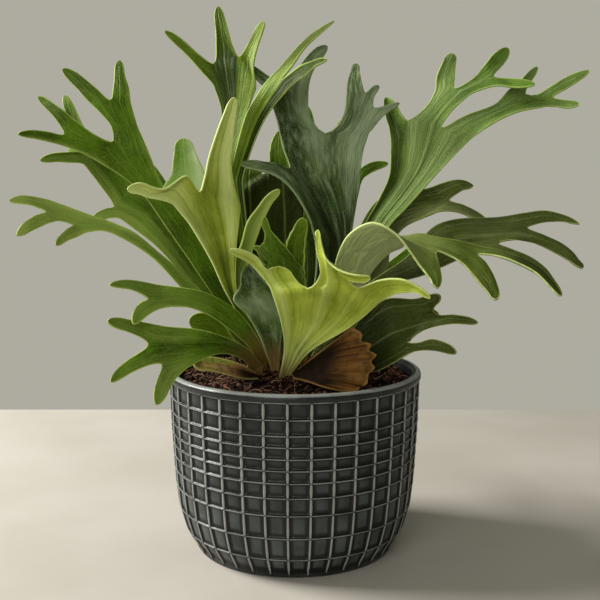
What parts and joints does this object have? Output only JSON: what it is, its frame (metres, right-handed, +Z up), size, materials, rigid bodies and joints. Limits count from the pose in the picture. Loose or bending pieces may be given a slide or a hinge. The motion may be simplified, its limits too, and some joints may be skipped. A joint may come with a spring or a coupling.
{
  "type": "staghorn fern",
  "caption": "Potted staghorn fern with forked antler-like green fronds and papery brown shield fronds in a round glazed ceramic pot with a raised grid.",
  "frame": {"origin": "middle of the pot's flat underside", "axes": "+Z up, the side that the picture shows faces -Y, +X to its right"},
  "size_m": [0.3554, 0.2389, 0.3512],
  "materials": {
    "glaze": "glossy dark grey-green glaze, worn paler on the ribs",
    "soil": "dark crumbly bark and coir mix",
    "rhizome": "rough brown fibrous crown",
    "frond_green": "satin leathery dark green with fine veins and pale margins",
    "frond_bright": "satin mid green with silvery streaks",
    "frond_young": "soft yellow-green young frond with pale margins",
    "frond_silver": "grey-green with a silvery felt of fine hairs",
    "shield_brown": "dry papery brown shield frond, ribbed and scalloped"
  },
  "bodies": {
    "root": {"pot": "glaze", "soil": "soil", "crown": "rhizome", "frond_left_high": "frond_green", "frond_left_behind": "frond_green", "frond_left_drooping": "frond_green", "frond_front_left": "frond_young", "frond_small_silver": "frond_silver", "frond_centre_tall": "frond_green", "frond_centre_silver": "frond_silver", "frond_centre_behind": "frond_green", "frond_right_high": "frond_bright", "frond_right_behind": "frond_green", "frond_right_long": "frond_green", "frond_right_arching": "frond_bright", "frond_right_low": "frond_green", "frond_front_centre": "frond_young", "frond_torn": "frond_green", "frond_young_narrow": "frond_young", "frond_young_cupped": "frond_young", "frond_left_low_upper": "frond_green", "frond_left_low": "frond_green", "frond_young_silver": "frond_silver", "frond_scrap": "frond_young", "shield_front": "shield_brown", "shield_left": "shield_brown", "frond_back_centre": "frond_green", "frond_back_right": "frond_green", "frond_back_left": "frond_green", "frond_back_low_left": "frond_green", "frond_back_low_right": "frond_green", "frond_back_drooping": "frond_green", "shield_back": "shield_brown"}
  },
  "joints": []
}
